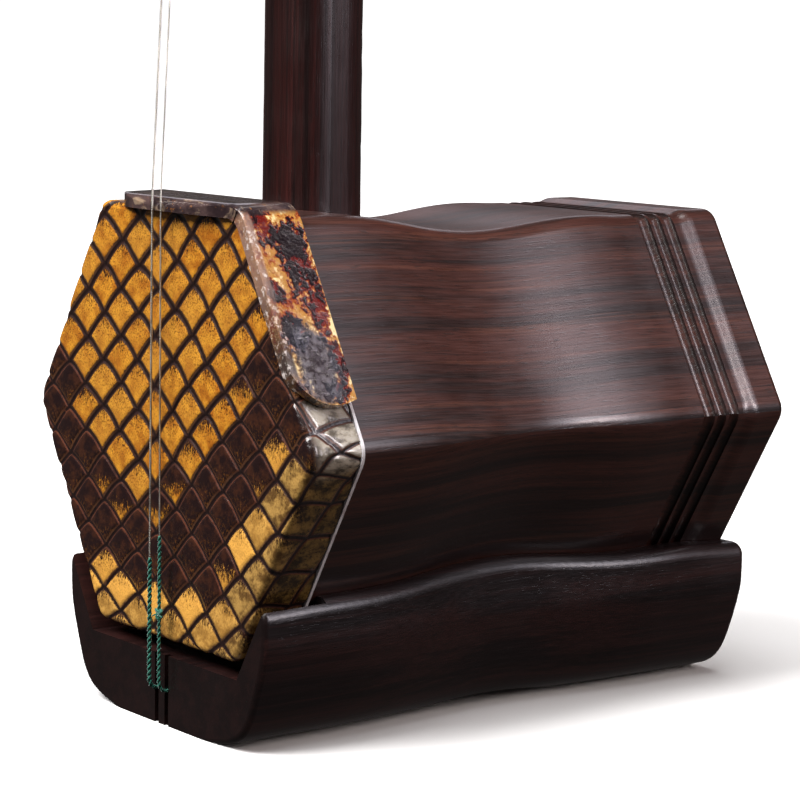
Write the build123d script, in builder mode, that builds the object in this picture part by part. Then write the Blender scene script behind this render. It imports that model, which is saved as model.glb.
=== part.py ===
from build123d import *
import os
from math import cos, sin, tan, radians

os.makedirs("parts", exist_ok=True)

# An erhu: a hexagonal rosewood sound box with a snakeskin front, a round neck standing
# through it, two pegs, two strings with silk tails, and a cradle base under the box.
# Frame: origin where the neck's axis meets the floor, +Z up the neck, the skin facing -Y,
# the pegs and the box's tail towards +Y. Millimetres.

# ---- sound box ----------------------------------------------------------------------
SKIN_Y = -36.4            # plane of the playing skin
AXIS_Z = 63.0             # height of the sound box's axis
BOX_LENGTH = 131.0        # skin plane to the rear edge
WOOD_A = 44.6             # apothem of the wood at the front band
BORE_A = 33.5             # apothem of the hollow
SKIN_T = 0.8              # thickness of the snakeskin
SKIN_BAND = 12.3          # how far the skin is folded back along the box
BINDING_W = 0.65          # light line along the skin's cut edge
RIDGE_R = 4.4             # rounding of the box's long ridges
FOLD_R = 1.0              # rounding of the wood under the skin's fold
REAR_R = 1.8              # rounding of the rear rim
LIP = 6.0                 # bevel inside the front rim, which frees the skin
GLUE = 0.03               # glue line between fitted pieces

# waist of each board: (distance behind the skin plane, apothem)
WAIST = [
    (16.0, 44.6), (24.0, 44.5), (32.0, 44.0), (41.0, 42.8), (50.0, 41.2), (58.0, 40.2),
    (65.0, 39.9), (72.0, 40.3), (80.0, 41.3), (90.0, 42.3), (99.0, 42.4), (105.5, 42.2),
]
LAND_A = 42.2             # apothem between the moulding and the rear flange
FLANGE_A = 43.0           # apothem of the rear flange
FLANGE_FROM = 119.0       # where the surface begins to rise to the flange
FLANGE_RISE = 4.0         # length of that rise
GROOVES = [(108.8, 1.75, 1.35), (112.6, 1.4, 1.35), (116.2, 1.5, 1.25)]  # place, half width, depth
STAVES = [
    "stave_top", "stave_upper_right", "stave_lower_right",
    "stave_bottom", "stave_lower_left", "stave_upper_left",
]

# ---- pierced window in the tail --------------------------------------------------------
PANE_T = 4.5
PANE_RIM = 3.2            # plain border round the piercing
PIERCE_STEP = 5.6         # apothem of the honeycomb's cells
PIERCE_A = 4.4            # apothem of each hole

# ---- rim guard ----------------------------------------------------------------------
GUARD_T = 1.9             # thickness of the tortoiseshell strip over the skin
GUARD_OVERHANG = 1.9      # how far its top lip stands in front of the skin
GUARD_LIP_A = 44.5        # the lip reaches in to this apothem
GUARD_REAR = 13.0         # its rear edge, behind the skin plane
GUARD_ROLL = 2.2          # rounding of its front edge

# ---- neck, head and pegs --------------------------------------------------------------
TENON_R = 8.0             # round part of the neck inside the box
TENON_FOOT = 9.0          # height of its lower end, inside the base
NECK = [                  # height, width, depth, corner rounding
    (99.0, 19.2, 19.2, 7.4), (430.0, 17.6, 17.6, 7.2), (500.0, 17.6, 17.6, 7.2),
    (600.0, 19.5, 22.0, 5.0), (748.0, 19.5, 22.0, 5.0),
]
HEAD_R = 3.6              # rounding of the head's long edges
HEAD_FACE = ((22.0, 809.5), (29.5, 796.5))   # upper and lower edge of the head's end face
INLAY_R = 4.55            # bone button in that face
INLAY_T = 2.2
INLAY_SUNK = 1.0
PEG_Z = {"upper_peg": 706.0, "lower_peg": 641.0}
PEG_NOSE_R = {"upper_peg": 4.4, "lower_peg": 3.7}    # where the string is wound
PEG_MID_R = 4.83          # taper's radius on the neck's axis
PEG_TAPER = 0.03
PEG_FIT = 0.05            # radial running clearance
PEG_TIP_Y = -31.0
WIND_Y = -22.0            # middle of the windings
HANDLE = [(14.0, 7.1), (17.5, 7.6), (24.0, 6.3), (34.0, 7.6), (48.0, 10.4), (64.0, 12.2),
          (80.0, 12.7), (91.0, 11.2)]
HANDLE_END = 95.0
FLUTES = 8
FLUTE_R = 2.3
FLUTE_AT = 13.7

# ---- strings ------------------------------------------------------------------------
STRING_R = {"inner": 0.23, "outer": 0.17}
STRING_Y = SKIN_Y - 2.4   # the strings' plane in front of the skin
QIANJIN_Z = 462.0         # thread loop that stops the strings
QIANJIN_H = 7.0
NECK_SIDE = -21.7         # where the strings pass the loop
LOOP_Y = NECK_SIDE + 1.75 # centre of the loop's narrow end
LOOP_R = (10.6, 9.6)      # outside and inside, round the neck
LOOP_END_R = (4.0, 3.1)   # outside and inside, round the strings
TAIL_R = {"inner": 0.5, "outer": 0.42}
TAIL_TOP = {"inner": 35.3, "outer": 40.5}
KNOT_Z = 24.2
STRING_X = {"inner": -1.85, "outer": 1.85}

# ---- cradle base --------------------------------------------------------------------
BASE_FRONT = SKIN_Y - 0.5
BASE = [                  # distance behind the skin plane, half width, rim height
    (-0.5, 37.4, 31.1), (14.0, 37.5, 31.5), (30.0, 37.0, 31.8), (48.0, 34.8, 33.1),
    (66.0, 33.3, 33.8), (84.0, 34.6, 32.6), (102.0, 36.7, 31.9), (119.0, 37.3, 31.8),
    (132.0, 37.3, 31.3),
]
RIM_R = 3.0               # rounding of the rim
HORN_R = 4.5              # rounding of the rim's front and rear tips
RELIEF_A = 48.0           # the trough's mouth is widened to this apothem
RELIEF_LEN = 15.0
ARCH = (42.0, 66.0, 90.0, 3.0)   # start, crown, end and rise of the arch between the feet
SLOT_W = 1.4
SLOT_DEPTH = 1.3
ANCHOR_Y = SKIN_Y + 9.5
ANCHOR_Z = 5.5
ANCHOR_R = 1.5
SCREW_Y = (-14.4, 59.6)
SCREW_HEAD_R = 4.2
SCREW_R = 2.0

TAN30 = tan(radians(30))
COS30 = cos(radians(30))
SKIN_A = WOOD_A + GLUE + SKIN_T
AXIS = Axis((0, 0, AXIS_Z), (0, 1, 0))


def put(part, name):
    part.label = name
    export_step(part, f"parts/{name}.step")


def hex_prism(apothem, y_from, y_to, ridge=0.0, fold=0.0):
    """Hexagonal prism along the box's axis, flats on top and bottom."""
    with BuildPart(mode=Mode.PRIVATE) as prism:
        with BuildSketch(Plane.XZ.offset(-y_from)):
            with Locations((0, AXIS_Z)):
                RegularPolygon(apothem, 6, major_radius=False)
        extrude(amount=-(y_to - y_from))
        if ridge:
            fillet(prism.edges().filter_by(Axis.Y), ridge)
        if fold:
            fillet(prism.faces().sort_by(Axis.Y)[0].edges(), fold)
    return prism.part


def sector(k):
    """Sixty-degree wedge of the box's cross-section; 0 is the top, 1 the upper right."""
    with BuildPart(mode=Mode.PRIVATE) as wedge:
        with BuildSketch(Plane.XZ.offset(-SKIN_Y + 8)):
            with BuildLine():
                reach = 80
                Polyline(
                    (0, AXIS_Z), (-reach * TAN30, AXIS_Z + reach), (reach * TAN30, AXIS_Z + reach),
                    close=True,
                )
            make_face()
        extrude(amount=-(BOX_LENGTH + 16))
    return wedge.part.rotate(AXIS, 60 * k)


def six(piece):
    """The top sector's piece repeated round the box's axis."""
    whole = piece
    for k in range(1, 6):
        whole = whole + piece.rotate(AXIS, 60 * k)
    return whole


def outer_box(bump=0.0):
    """Outside of the box, waisted, with sharp ridges; bump grows it outwards."""
    y0 = SKIN_Y + SKIN_T + GLUE
    y1 = SKIN_Y + BOX_LENGTH
    with BuildPart(mode=Mode.PRIVATE) as slab:
        with BuildSketch(Plane.YZ.offset(-60)):
            with BuildLine():
                pts = [(SKIN_Y + d, AXIS_Z + a + bump) for d, a in WAIST]
                land = (SKIN_Y + FLANGE_FROM, AXIS_Z + LAND_A + bump)
                flange = (land[0] + FLANGE_RISE, AXIS_Z + FLANGE_A + bump)
                Line((y0, pts[0][1]), pts[0])
                Spline(pts, tangents=[(1, 0), (1, 0)])
                Line(pts[-1], land)
                Spline([land, flange], tangents=[(1, 0), (1, 0)])
                Line(flange, (y1, flange[1]))
                Polyline((y1, flange[1]), (y1, AXIS_Z), (y0, AXIS_Z), (y0, pts[0][1]))
            make_face()
        extrude(amount=120)
    return six(slab.part & sector(0))


def long_ridges(solid):
    """The six ridges along the box, without the edges round its ends."""
    picked = []
    for edge in solid.edges():
        middle = edge @ 0.5
        away = (middle.X ** 2 + (middle.Z - AXIS_Z) ** 2) ** 0.5
        if away * COS30 > BORE_A + 2 and abs((edge @ 0).Y - (edge @ 1).Y) > 1:
            picked.append(edge)
    return picked


# ---- six boards of the sound box -------------------------------------------------------
box_outside = outer_box()
box_outside = box_outside.fillet(RIDGE_R, long_ridges(box_outside))
box_outside = box_outside.fillet(FOLD_R, box_outside.faces().sort_by(Axis.Y)[0].edges())
box_outside = box_outside.fillet(REAR_R, box_outside.faces().sort_by(Axis.Y)[-1].edges())

with BuildPart() as groove_bar:
    with BuildSketch(Plane.YZ.offset(-60)):
        for place, half, depth in GROOVES:
            with Locations((SKIN_Y + place, AXIS_Z + LAND_A)):
                Ellipse(half, depth)
    extrude(amount=120)
groove_rings = six(groove_bar.part & sector(0))

with BuildPart() as hollow:
    add(hex_prism(BORE_A, SKIN_Y - 1, SKIN_Y + BOX_LENGTH + 1))
    mouth = SKIN_Y + SKIN_T + GLUE
    with BuildSketch(Plane.XZ.offset(-mouth)):
        with Locations((0, AXIS_Z)):
            RegularPolygon(BORE_A + LIP * 0.75, 6, major_radius=False)
    with BuildSketch(Plane.XZ.offset(-(mouth + LIP))):
        with Locations((0, AXIS_Z)):
            RegularPolygon(BORE_A, 6, major_radius=False)
    loft()

with BuildPart() as shell:
    add(box_outside)
    add(groove_rings, mode=Mode.SUBTRACT)
    add(hollow.part, mode=Mode.SUBTRACT)
    Cylinder(
        TENON_R + PEG_FIT, 140, align=(Align.CENTER, Align.CENTER, Align.MIN),
        mode=Mode.SUBTRACT,
    )
    with Locations(*[(0, y, 0) for y in SCREW_Y]):
        Cylinder(
            SCREW_R + GLUE, 27.5, align=(Align.CENTER, Align.CENTER, Align.MIN),
            mode=Mode.SUBTRACT,
        )

for k, stave_name in enumerate(STAVES):
    with BuildPart() as stave:
        add(shell.part)
        add(sector(k), mode=Mode.INTERSECT)
    put(stave.part, stave_name)

# ---- snakeskin over the front and round the rim ------------------------------------------
with BuildPart() as snakeskin:
    add(hex_prism(SKIN_A, SKIN_Y, SKIN_Y + SKIN_BAND, RIDGE_R + SKIN_T, FOLD_R + SKIN_T))
    add(
        hex_prism(
            WOOD_A + GLUE, SKIN_Y + SKIN_T, SKIN_Y + SKIN_BAND + 1, RIDGE_R + GLUE, FOLD_R
        ),
        mode=Mode.SUBTRACT,
    )
put(snakeskin.part, "snakeskin")

with BuildPart() as binding:
    cut_edge = SKIN_Y + SKIN_BAND
    add(hex_prism(SKIN_A + 0.05, cut_edge, cut_edge + BINDING_W, RIDGE_R + SKIN_T))
    add(
        hex_prism(WOOD_A + GLUE, cut_edge - 1, cut_edge + 2, RIDGE_R + GLUE),
        mode=Mode.SUBTRACT,
    )
put(binding.part, "skin_edge_binding")

# ---- tortoiseshell guard over the top and upper right of the rim ---------------------------
guard_a = SKIN_A + 0.09
with BuildPart() as guard_ring:
    add(
        hex_prism(
            guard_a + GUARD_T, SKIN_Y - GUARD_OVERHANG, SKIN_Y + GUARD_REAR,
            RIDGE_R + SKIN_T + GUARD_T, GUARD_ROLL,
        )
    )
    add(
        hex_prism(
            guard_a, SKIN_Y - GLUE, SKIN_Y + GUARD_REAR + 1, RIDGE_R + SKIN_T, FOLD_R + SKIN_T
        ),
        mode=Mode.SUBTRACT,
    )
    add(hex_prism(GUARD_LIP_A, SKIN_Y - 9, SKIN_Y + 1, RIDGE_R), mode=Mode.SUBTRACT)

with BuildPart() as guard_top:
    with BuildSketch(Plane.XY.offset(AXIS_Z + 30)):
        with BuildLine():
            rear = SKIN_Y + GUARD_REAR
            Spline(
                [(-21.5, rear), (-19.5, SKIN_Y + 6), (-16.5, SKIN_Y + 0.2), (-11, SKIN_Y - 1.5),
                 (-2, SKIN_Y - GUARD_OVERHANG), (10, SKIN_Y - GUARD_OVERHANG),
                 (20, SKIN_Y - 1.2), (31, SKIN_Y - 0.6)],
            )
            Polyline((31, SKIN_Y - 0.6), (31, rear), (-21.5, rear))
        make_face()
    extrude(amount=30)
    add(sector(0), mode=Mode.INTERSECT)

with BuildPart() as guard_side:
    with BuildSketch(Plane.XY.offset(AXIS_Z + 30)):
        with BuildLine():
            Line((-31, SKIN_Y - 0.6), (7.5, SKIN_Y - 0.6))
            Spline(
                [(7.5, SKIN_Y - 0.6), (11.5, SKIN_Y + 0.6), (14.6, SKIN_Y + 3.4),
                 (16.0, SKIN_Y + 7.0), (15.9, SKIN_Y + 10.5), (15.2, rear)],
                tangents=[(1, 0), (-0.3, 1)],
            )
            Polyline((15.2, rear), (-31, rear), (-31, SKIN_Y - 0.6))
        make_face()
    extrude(amount=30)
    add(sector(0), mode=Mode.INTERSECT)

with BuildPart() as guard_cover:
    add(guard_top.part)
    add(guard_side.part.rotate(AXIS, 60))

with BuildPart() as skin_rim_guard:
    add(guard_ring.part)
    add(guard_cover.part, mode=Mode.INTERSECT)
put(skin_rim_guard.part, "skin_rim_guard")

# ---- carved window in the tail of the box -----------------------------------------------
PANE_A = BORE_A - GLUE
PANE_Y = SKIN_Y + BOX_LENGTH - 8.5
with BuildPart() as piercing:
    with BuildSketch(Plane.XZ.offset(1 - PANE_Y)):
        with Locations((0, AXIS_Z)):
            with HexLocations(PIERCE_STEP, 7, 7, major_radius=False):
                RegularPolygon(PIERCE_A, 6, major_radius=False, rotation=30)
        with Locations((0, AXIS_Z)):
            RegularPolygon(PANE_A - PANE_RIM, 6, major_radius=False, mode=Mode.INTERSECT)
    extrude(amount=-(PANE_T + 2))

with BuildPart() as rear_window:
    with BuildSketch(Plane.XZ.offset(-PANE_Y)):
        with Locations((0, AXIS_Z)):
            RegularPolygon(PANE_A, 6, major_radius=False)
    extrude(amount=-PANE_T)
    add(piercing.part, mode=Mode.SUBTRACT)
put(rear_window.part, "rear_window")

# ---- neck ---------------------------------------------------------------------------


def peg_radius(y):
    return PEG_MID_R + PEG_TAPER * y


with BuildPart() as neck:
    for lower, upper in zip(NECK[:-1], NECK[1:]):
        for z, w, d, r in (lower, upper):
            with BuildSketch(Plane.XY.offset(z)):
                RectangleRounded(w, d, r)
        loft()
    add(outer_box(GLUE), mode=Mode.SUBTRACT)
    with Locations((0, 0, TENON_FOOT)):
        Cylinder(TENON_R, 100, align=(Align.CENTER, Align.CENTER, Align.MIN))
    for z in PEG_Z.values():
        with BuildSketch(Plane((0, 0, z), x_dir=(0, 1, 0), z_dir=(0, 0, -1))):
            with BuildLine():
                Polyline(
                    (-14, 0), (-14, peg_radius(-14) + PEG_FIT), (14, peg_radius(14) + PEG_FIT),
                    (14, 0), close=True,
                )
            make_face()
        revolve(axis=Axis((0, 0, z), (0, 1, 0)), mode=Mode.SUBTRACT)
put(neck.part, "neck")

# ---- swept-back head with a bone button -----------------------------------------------
HEAD_FOOT = NECK[-1][0]
face_dir = Vector(0, HEAD_FACE[0][1] - HEAD_FACE[1][1], HEAD_FACE[1][0] - HEAD_FACE[0][0])
face_mid = (0, (HEAD_FACE[0][0] + HEAD_FACE[1][0]) / 2, (HEAD_FACE[0][1] + HEAD_FACE[1][1]) / 2)
face_plane = Plane(face_mid, x_dir=(1, 0, 0), z_dir=face_dir)
with BuildPart() as headpiece:
    with BuildSketch(Plane.YZ.offset(-NECK[-1][1] / 2)):
        with BuildLine():
            Spline(
                [(-11, HEAD_FOOT), (-11.4, 766), (-8.4, 783), (0, 797), (11, 805.5), HEAD_FACE[0]],
                tangents=[(0, 1), (1, 0.25)],
            )
            Line(HEAD_FACE[0], HEAD_FACE[1])
            Spline(
                [HEAD_FACE[1], (20.5, 789.5), (14, 779), (11.2, 765), (11, HEAD_FOOT)],
                tangents=[(-1, -0.45), (0, -1)],
            )
            Line((11, HEAD_FOOT), (-11, HEAD_FOOT))
        make_face()
    extrude(amount=NECK[-1][1])
    side_edges = [
        e for e in headpiece.edges()
        if abs((e @ 0).X - (e @ 1).X) < 0.01 and e.length > 20
        and abs((e @ 0).Z - (e @ 1).Z) > 1
    ]
    fillet(side_edges, HEAD_R)
    with Locations(face_plane):
        Cylinder(INLAY_R + 0.05, 2 * INLAY_SUNK, mode=Mode.SUBTRACT)
put(headpiece.part, "headpiece")

with BuildPart() as head_inlay:
    with Locations(face_plane.offset(-INLAY_SUNK)):
        Cylinder(INLAY_R, INLAY_T, align=(Align.CENTER, Align.CENTER, Align.MIN))
    fillet(head_inlay.faces().sort_by(Axis((0, 0, 0), tuple(face_dir)))[-1].edges(), 0.8)
put(head_inlay.part, "head_inlay")

# ---- pegs, their bone caps and the string wound on them -------------------------------
for peg_name, z in PEG_Z.items():
    nose = PEG_NOSE_R[peg_name]
    peg_axis = Axis((0, 0, z), (0, 1, 0))
    peg_plane = Plane((0, 0, z), x_dir=(0, 1, 0), z_dir=(0, 0, -1))
    with BuildPart() as peg:
        with BuildSketch(peg_plane):
            with BuildLine():
                Polyline(
                    (HANDLE_END, 0), (PEG_TIP_Y, 0), (PEG_TIP_Y, nose - 0.8),
                    (PEG_TIP_Y + 0.8, nose), (-16.5, nose), (-13.5, peg_radius(-13.5)),
                    (12.6, peg_radius(12.6)), HANDLE[0],
                )
                Spline(HANDLE)
                Spline([HANDLE[-1], (HANDLE_END - 1.3, 9.4), (HANDLE_END, 6.0)])
                Line((HANDLE_END, 6.0), (HANDLE_END, 0))
            make_face()
        revolve(axis=peg_axis)
        with Locations(Plane((0, 40, z), z_dir=(0, 1, 0))):
            with PolarLocations(FLUTE_AT, FLUTES):
                Cylinder(
                    FLUTE_R, 70, align=(Align.CENTER, Align.CENTER, Align.MIN),
                    mode=Mode.SUBTRACT,
                )
    put(peg.part, peg_name)

    with BuildPart() as cap:
        with BuildSketch(peg_plane):
            with BuildLine():
                Polyline(
                    (HANDLE_END + 6.0, 0), (HANDLE_END + GLUE, 0), (HANDLE_END + GLUE, 6.0),
                    (HANDLE_END + 1.2, 6.6),
                )
                Spline(
                    [(HANDLE_END + 1.2, 6.6), (HANDLE_END + 4.4, 5.0), (HANDLE_END + 6.0, 0)],
                    tangents=[(1, 0.1), (0, -1)],
                )
            make_face()
        revolve(axis=peg_axis)
    put(cap.part, f"{peg_name}_cap")

    wire = STRING_R["inner" if peg_name == "upper_peg" else "outer"]
    layers = 2 if peg_name == "upper_peg" else 1
    turns = 10
    with BuildPart() as winding:
        with BuildSketch(peg_plane):
            half_run = wire * (turns - 1)
            with Locations((WIND_Y, nose + GLUE + wire * (layers - 0.5))):
                Rectangle(2 * half_run, wire * (2 * layers - 1))
            for layer in range(layers):
                for turn in range(turns - layer):
                    at = WIND_Y - half_run + wire * (2 * turn + layer)
                    with Locations((at, nose + GLUE + wire * (1 + 1.75 * layer))):
                        Circle(wire)
        revolve(axis=peg_axis)
    put(winding.part, f"{peg_name}_winding")

# ---- thread loop round the neck and the strings ------------------------------------------


def loop_sketch(neck_r, string_r):
    with BuildSketch(mode=Mode.PRIVATE) as outline:
        Circle(neck_r)
        with Locations((0, LOOP_Y)):
            Circle(string_r)
        make_hull()
    return outline.sketch


with BuildPart() as qianjin:
    with BuildSketch(Plane.XY.offset(QIANJIN_Z - QIANJIN_H / 2)):
        add(loop_sketch(LOOP_R[0], LOOP_END_R[0]))
        add(loop_sketch(LOOP_R[1], LOOP_END_R[1]), mode=Mode.SUBTRACT)
    extrude(amount=QIANJIN_H)
put(qianjin.part, "qianjin")

# ---- strings and their silk tails ---------------------------------------------------------


def cord(points, bends, radius):
    """Round cord along straight runs joined by tangent arcs."""
    with BuildPart(mode=Mode.PRIVATE) as tube:
        with BuildLine() as path:
            FilletPolyline(*points, radius=bends)
        start = path.line @ 0
        with BuildSketch(Plane(start, z_dir=path.line % 0)):
            Circle(radius)
        sweep()
    return tube.part


RIM_Z = AXIS_Z + guard_a + GUARD_T
for side, peg_name in (("inner", "upper_peg"), ("outer", "lower_peg")):
    sign = -1 if side == "inner" else 1
    r = STRING_R[side]
    layers = 2 if side == "inner" else 1
    wound = PEG_NOSE_R[peg_name] + GLUE + r * (2 + 1.75 * (layers - 1))
    with BuildPart() as string:
        add(
            cord(
                [
                    (sign * (wound + 0.3 + r), WIND_Y, PEG_Z[peg_name]),
                    (sign * 1.25, NECK_SIDE, QIANJIN_Z),
                    (sign * 1.6, STRING_Y, RIM_Z),
                    (STRING_X[side], STRING_Y, TAIL_TOP[side]),
                ],
                [60.0, 12.0],
                r,
            )
        )
    put(string.part, f"{side}_string")

    t = TAIL_R[side]
    x = STRING_X[side]
    wrap = ANCHOR_R + t + 0.05
    with BuildPart() as tail:
        add(
            cord(
                [
                    (x, STRING_Y, TAIL_TOP[side] - GLUE),
                    (x, STRING_Y, ANCHOR_Z + wrap),
                    (x, ANCHOR_Y + wrap, ANCHOR_Z + wrap),
                    (x, ANCHOR_Y + wrap, ANCHOR_Z - wrap),
                    (x, ANCHOR_Y - 0.5, ANCHOR_Z - wrap),
                ],
                [1.5, wrap - 0.1, wrap - 0.1],
                t,
            )
        )
        if side == "outer":
            with Locations((x, STRING_Y, KNOT_Z)):
                Sphere(1.25)
    put(tail.part, f"{side}_string_tail")

# ---- cradle base --------------------------------------------------------------------


def base_section(y, half, rim):
    """Hull-shaped cross-section, flat below, with a rounded rim."""
    with BuildSketch(Plane.XZ.offset(-y), mode=Mode.PRIVATE) as section:
        with BuildLine():
            k = half / 37.4
            right = [(12 * k, -1.0), (20 * k, 0.0), (29 * k, 3.2), (34.3 * k, 12.0),
                     (37.1 * k, 21.0), (half, rim - RIM_R)]
            Line((-12 * k, -1.0), right[0])
            Spline(right, tangents=[(1, 0), (0, 1)])
            RadiusArc(right[-1], (half - RIM_R, rim), -RIM_R)
            Line((half - RIM_R, rim), (RIM_R - half, rim))
            RadiusArc((RIM_R - half, rim), (-half, rim - RIM_R), -RIM_R)
            Spline(
                [(-px, pz) for px, pz in reversed(right)],
                tangents=[(0, -1), (1, 0)],
            )
        make_face()
    return section.sketch


with BuildPart() as base:
    for distance, half, rim in BASE:
        add(base_section(SKIN_Y + distance, half, rim))
    loft()
    front_edges = base.faces().sort_by(Axis.Y)[0].edges()
    fillet(front_edges, 1.2)
    rear_edges = base.faces().sort_by(Axis.Y)[-1].edges()
    fillet(rear_edges, 1.8)
    with Locations((0, 30, 0)):
        Box(100, 200, 10, align=(Align.CENTER, Align.CENTER, Align.MAX), mode=Mode.SUBTRACT)
    add(outer_box(0.12), mode=Mode.SUBTRACT)
    add(
        hex_prism(RELIEF_A, BASE_FRONT - 5, SKIN_Y + RELIEF_LEN),
        mode=Mode.SUBTRACT,
    )
    with BuildSketch(Plane.YZ.offset(-60)):
        with BuildLine():
            Line((SKIN_Y + ARCH[2], 0), (SKIN_Y + ARCH[0], 0))
            ThreePointArc(
                (SKIN_Y + ARCH[0], 0), (SKIN_Y + ARCH[1], ARCH[3]), (SKIN_Y + ARCH[2], 0)
            )
        make_face()
    extrude(amount=120, mode=Mode.SUBTRACT)
    Cylinder(
        TENON_R + PEG_FIT, 60, align=(Align.CENTER, Align.CENTER, Align.MIN), mode=Mode.SUBTRACT
    )
    Cylinder(TENON_R + 1, TENON_FOOT - 0.5, align=(Align.CENTER, Align.CENTER, Align.MIN))
    with Locations(*[(0, y, 0) for y in SCREW_Y]):
        Cylinder(
            SCREW_R + GLUE, 60, align=(Align.CENTER, Align.CENTER, Align.MIN),
            mode=Mode.SUBTRACT,
        )
        Cylinder(
            SCREW_HEAD_R + 0.2, 5.5, align=(Align.CENTER, Align.CENTER, Align.MIN),
            mode=Mode.SUBTRACT,
        )
    for side in ("inner", "outer"):
        x = STRING_X[side]
        with Locations((x, BASE_FRONT + SLOT_DEPTH / 2 - 1, 0)):
            Box(
                SLOT_W, SLOT_DEPTH + 2, 30, align=(Align.CENTER, Align.CENTER, Align.MIN),
                mode=Mode.SUBTRACT,
            )
        hole_z = ANCHOR_Z + ANCHOR_R + TAIL_R[side] + 0.05
        with Locations(Plane((x, BASE_FRONT - 1, hole_z), z_dir=(0, 1, 0))):
            Cylinder(
                0.85, ANCHOR_Y - BASE_FRONT, align=(Align.CENTER, Align.CENTER, Align.MIN),
                mode=Mode.SUBTRACT,
            )
    with Locations((0, ANCHOR_Y + 0.9, 0)):
        Box(
            26, 2 * ANCHOR_R + 1.9, 9.2, align=(Align.CENTER, Align.CENTER, Align.MIN),
            mode=Mode.SUBTRACT,
        )
put(base.part, "base")

with BuildPart() as anchor_pin:
    with Locations(Plane((-12.9, ANCHOR_Y, ANCHOR_Z), z_dir=(1, 0, 0))):
        Cylinder(ANCHOR_R, 25.8, align=(Align.CENTER, Align.CENTER, Align.MIN))
put(anchor_pin.part, "anchor_pin")

with BuildPart() as base_screws:
    for y in SCREW_Y:
        with Locations((0, y, 3.2)):
            Cylinder(SCREW_HEAD_R, 2.3, align=(Align.CENTER, Align.CENTER, Align.MIN))
            Cylinder(SCREW_R, 23.5, align=(Align.CENTER, Align.CENTER, Align.MIN))
            Box(
                6.0, 1.0, 1.2, align=(Align.CENTER, Align.CENTER, Align.MIN),
                mode=Mode.SUBTRACT,
            )
put(base_screws.part, "base_screws")
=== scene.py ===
import math

import bpy
import numpy as np
from mathutils import Matrix, Vector


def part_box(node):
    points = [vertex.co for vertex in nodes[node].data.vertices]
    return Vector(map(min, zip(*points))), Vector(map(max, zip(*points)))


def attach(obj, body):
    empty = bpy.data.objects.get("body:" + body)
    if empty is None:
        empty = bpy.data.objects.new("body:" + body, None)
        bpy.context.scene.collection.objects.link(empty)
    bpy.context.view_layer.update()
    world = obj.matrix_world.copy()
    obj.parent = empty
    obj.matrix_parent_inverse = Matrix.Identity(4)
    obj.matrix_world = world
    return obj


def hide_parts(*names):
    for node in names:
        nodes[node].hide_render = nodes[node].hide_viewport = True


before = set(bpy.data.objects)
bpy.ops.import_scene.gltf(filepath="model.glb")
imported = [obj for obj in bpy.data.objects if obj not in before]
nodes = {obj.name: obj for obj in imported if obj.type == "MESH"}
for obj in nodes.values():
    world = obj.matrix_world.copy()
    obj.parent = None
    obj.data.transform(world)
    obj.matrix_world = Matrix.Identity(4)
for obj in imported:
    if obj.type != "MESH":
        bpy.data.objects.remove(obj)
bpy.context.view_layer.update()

MM = 0.001
TURN = 2 * math.pi
TAN30 = math.tan(math.radians(30))
COS30 = math.cos(math.radians(30))


def box_mm(node):
    """Low and high corner of a CAD node, in millimetres."""
    return [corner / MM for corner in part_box(node)]


skin_low, skin_high = box_mm("snakeskin")
SKIN_Y = skin_low.y                          # front of the sound box
AXIS_Z = (skin_low.z + skin_high.z) / 2      # height of the sound box's axis
SKIN_A = (skin_high.z - skin_low.z) / 2      # the skin's apothem
SKIN_DEEP = skin_high.y - skin_low.y         # how far it is folded back along the box

# ---- camera ---------------------------------------------------------------------------
CAMERA_AT = (0.4700, -0.3374, 0.1450)
CAMERA_AZ, CAMERA_EL, CAMERA_ROLL = 52.39, 7.75, 1.01
LENS, SENSOR = 122.5, 36


def direction(azimuth, elevation):
    """Unit vector from the object; azimuth 0 is towards -Y and 90 towards +X, in degrees."""
    a, e = math.radians(azimuth), math.radians(elevation)
    return Vector((math.sin(a) * math.cos(e), -math.cos(a) * math.cos(e), math.sin(e)))


back = direction(CAMERA_AZ, CAMERA_EL)
right = (-back).cross(Vector((0, 0, 1))).normalized()
up = right.cross(-back)
roll = math.radians(CAMERA_ROLL)
right, up = (
    right * math.cos(roll) + up * math.sin(roll),
    up * math.cos(roll) - right * math.sin(roll),
)
camera = bpy.data.objects.new("camera", bpy.data.cameras.new("camera"))
camera.data.lens = LENS
camera.data.sensor_width = SENSOR
camera.data.clip_start = 0.01
camera.matrix_world = Matrix((
    (right.x, up.x, back.x, CAMERA_AT[0]),
    (right.y, up.y, back.y, CAMERA_AT[1]),
    (right.z, up.z, back.z, CAMERA_AT[2]),
    (0, 0, 0, 1),
))
bpy.context.scene.collection.objects.link(camera)
bpy.context.scene.camera = camera
bpy.context.scene.view_settings.view_transform = "Standard"


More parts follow.
